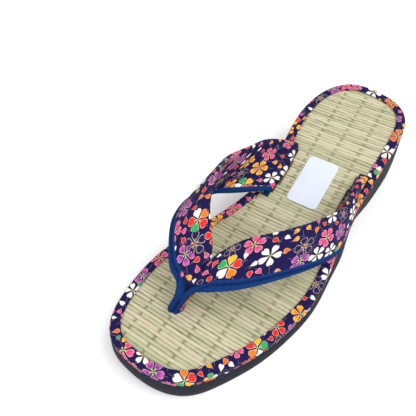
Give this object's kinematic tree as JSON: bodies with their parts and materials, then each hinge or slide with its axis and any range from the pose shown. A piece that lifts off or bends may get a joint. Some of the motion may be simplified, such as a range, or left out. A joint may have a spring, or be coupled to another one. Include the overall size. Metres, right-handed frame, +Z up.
{
  "type": "zori sandal",
  "caption": "Left zori sandal with a wedge sole, a woven rush insole edged in printed cotton, and a V-shaped printed strap held by a toe post.",
  "frame": {"origin": "on the floor, in the middle of the heel's flat tread", "axes": "+X from heel to toe, +Y to the wearer's left, which is the outer side, +Z up"},
  "size_m": [0.249, 0.0928, 0.0609],
  "materials": {
    "sole_rubber": "matte foam rubber with fine lines along its side",
    "rush": "woven rush, dry, with a soft sheen along each strand",
    "printed_cloth": "matte cotton, navy with a print of cherry blossoms",
    "piping_cloth": "plain blue cotton with a stitched ridge",
    "label_cloth": "smooth white, left bare"
  },
  "bodies": {
    "root": {"wedge_sole": "sole_rubber", "rush_insole": "rush", "edge_binding": "printed_cloth", "strap": "printed_cloth", "toe_post": "printed_cloth", "piping_outer": "piping_cloth", "piping_inner": "piping_cloth", "insole_label": "label_cloth"}
  },
  "joints": []
}
